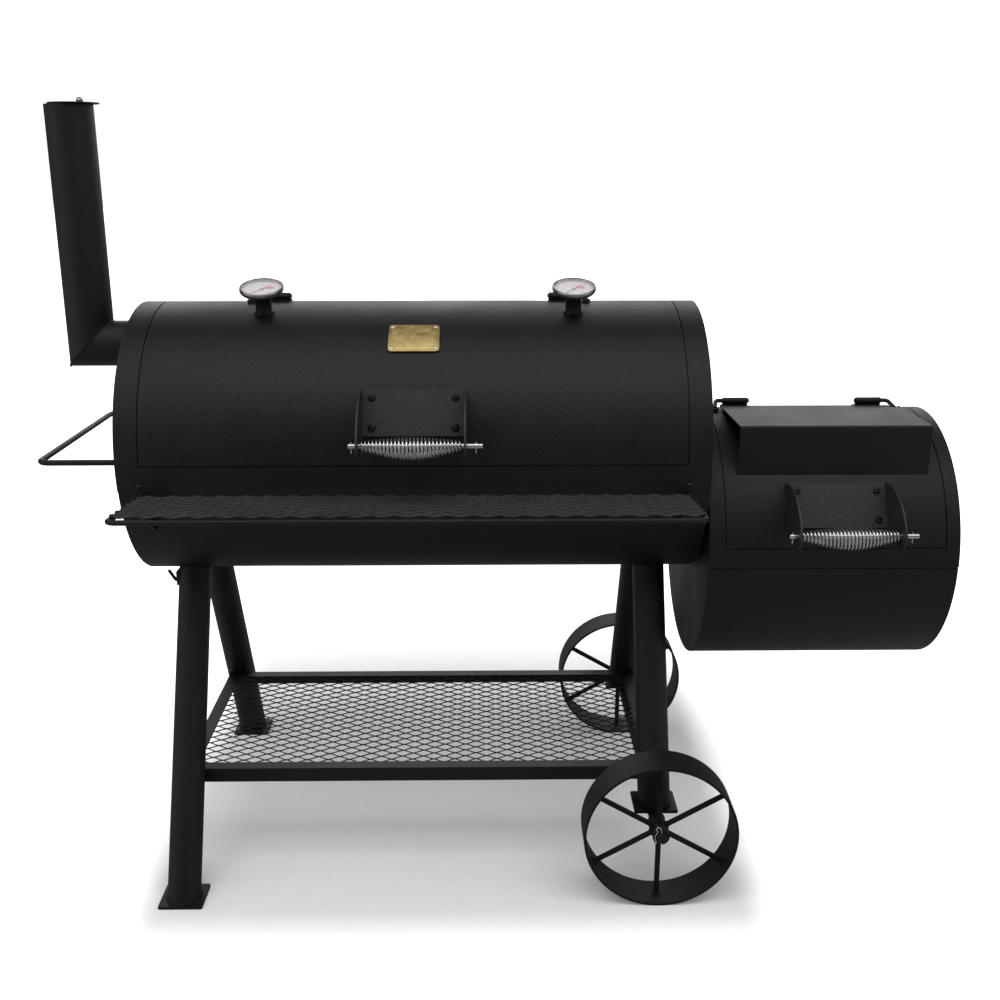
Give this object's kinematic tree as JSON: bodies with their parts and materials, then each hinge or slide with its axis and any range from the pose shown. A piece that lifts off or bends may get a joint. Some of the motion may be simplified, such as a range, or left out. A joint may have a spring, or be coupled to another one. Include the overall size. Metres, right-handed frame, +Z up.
{
  "type": "offset smoker",
  "caption": "Horizontal barrel smoker with a lower firebox at one end, hinged lids, elbow chimney, mesh shelves, splayed legs and spoked wheels.",
  "frame": {"origin": "on the ground, under the middle of the whole object", "axes": "+X towards the firebox, -Y towards the front where the handles are, +Z up"},
  "size_m": [1.4772, 0.7379, 1.2709],
  "materials": {
    "black_paint": "matte heat-resistant powder coat",
    "black_bolts": "black oxide",
    "bright_steel": "bright zinc plate",
    "gauge_steel": "polished stainless",
    "dial_face": "satin print",
    "needle_paint": "satin",
    "gauge_glass": "clear",
    "plate_brass": "brushed",
    "rivet_aluminium": "plain",
    "grate_iron": "seasoned"
  },
  "bodies": {
    "stand": {"main_lower_shell": "black_paint", "main_upper_shell": "black_paint", "main_left_end": "black_paint", "main_right_end": "black_paint", "fire_lower_shell": "black_paint", "fire_upper_shell": "black_paint", "fire_left_end": "black_paint", "fire_right_end": "black_paint", "hinge_barrels": "black_paint", "chimney_stub": "black_paint", "chimney_stack": "black_paint", "side_handle": "black_paint", "front_shelf_rod": "black_paint", "front_shelf_mesh": "black_paint", "front_shelf_brackets": "black_paint", "leg_front_left": "black_paint", "leg_rear_left": "black_paint", "leg_front_right": "black_paint", "leg_rear_right": "black_paint", "leg_hook": "black_paint", "bottom_shelf_frame": "black_paint", "bottom_shelf_mesh": "black_paint", "axle_brackets": "black_paint", "grate_rails": "black_paint", "seam_bolts": "black_bolts", "axle": "bright_steel", "wheel_clips": "bright_steel", "chimney_cap_bolt": "bright_steel"},
    "main_lid": {"main_lid": "black_paint", "gauge_left_case": "gauge_steel", "gauge_right_case": "gauge_steel", "gauge_left_dial": "dial_face", "gauge_right_dial": "dial_face", "gauge_glasses": "gauge_glass", "gauge_nuts": "bright_steel", "name_plate": "plate_brass", "name_plate_rivets": "rivet_aluminium", "main_handle_bracket": "black_paint", "main_handle_rod": "bright_steel", "main_handle_split_pins": "bright_steel", "main_handle_bolts": "black_bolts", "main_hinge_pins": "black_paint"},
    "fire_lid": {"fire_lid": "black_paint", "fire_lid_shelf": "black_paint", "fire_hinge_pins": "black_paint", "fire_handle_bracket": "black_paint", "fire_handle_rod": "bright_steel", "fire_handle_split_pins": "bright_steel", "fire_handle_bolts": "black_bolts"},
    "gauge_left_needle": {"gauge_left_needle": "needle_paint"},
    "gauge_right_needle": {"gauge_right_needle": "needle_paint"},
    "main_handle_coil": {"main_handle_coil": "bright_steel"},
    "fire_handle_coil": {"fire_handle_coil": "bright_steel"},
    "chimney_cap": {"chimney_cap": "black_paint"},
    "wheel_front": {"wheel_front": "black_paint"},
    "wheel_rear": {"wheel_rear": "black_paint"},
    "air_damper": {"air_damper": "black_paint"},
    "cooking_grate_left": {"cooking_grate_left": "grate_iron"},
    "cooking_grate_right": {"cooking_grate_right": "grate_iron"},
    "charcoal_grate": {"charcoal_grate": "grate_iron"}
  },
  "joints": [
    {"name": "main_lid_hinge", "type": "hinge", "parent": "stand", "child": "main_lid", "pos_m": [-0.14155, 0.05267, 0.95301], "axis": [-1, 0, 0], "range_deg": [0, 115]},
    {"name": "fire_lid_hinge", "type": "hinge", "parent": "stand", "child": "fire_lid", "pos_m": [0.52645, 0.05267, 0.77148], "axis": [-1, 0, 0], "range_deg": [0, 115]},
    {"name": "main_handle_coil_spin", "type": "hinge", "parent": "main_lid", "child": "main_handle_coil", "pos_m": [-0.14155, -0.25013, 0.76542], "axis": [1, 0, 0], "continuous": true},
    {"name": "fire_handle_coil_spin", "type": "hinge", "parent": "fire_lid", "child": "fire_handle_coil", "pos_m": [0.52995, -0.23261, 0.61618], "axis": [1, 0, 0], "continuous": true},
    {"name": "gauge_left_needle_turn", "type": "hinge", "parent": "main_lid", "child": "gauge_left_needle", "pos_m": [-0.38935, -0.02928, 0.93499], "axis": [0, 0.2924, -0.9563], "range_deg": [0, 280]},
    {"name": "gauge_right_needle_turn", "type": "hinge", "parent": "main_lid", "child": "gauge_right_needle", "pos_m": [0.11165, -0.02928, 0.93499], "axis": [0, 0.2924, -0.9563], "range_deg": [0, 280]},
    {"name": "chimney_cap_swing", "type": "hinge", "parent": "stand", "child": "chimney_cap", "pos_m": [-0.68605, 0.06567, 1.258], "axis": [0, 0, 1], "range_deg": [-15.5, 100]},
    {"name": "wheel_front_spin", "type": "hinge", "parent": "stand", "child": "wheel_front", "pos_m": [0.24945, -0.26032, 0.125], "axis": [0, 1, 0], "continuous": true},
    {"name": "wheel_rear_spin", "type": "hinge", "parent": "stand", "child": "wheel_rear", "pos_m": [0.24945, 0.33568, 0.125], "axis": [0, 1, 0], "continuous": true},
    {"name": "air_damper_turn", "type": "hinge", "parent": "stand", "child": "air_damper", "pos_m": [0.72745, 0.03768, 0.47], "axis": [1, 0, 0], "range_deg": [0, 90]},
    {"name": "cooking_grate_left_lift", "type": "slide", "parent": "stand", "child": "cooking_grate_left", "axis": [0, 0, 1], "range_m": [0, 0.03]},
    {"name": "cooking_grate_right_lift", "type": "slide", "parent": "stand", "child": "cooking_grate_right", "axis": [0, 0, 1], "range_m": [0, 0.03]},
    {"name": "charcoal_grate_lift", "type": "slide", "parent": "stand", "child": "charcoal_grate", "axis": [0, 0, 1], "range_m": [0, 0.03]}
  ]
}
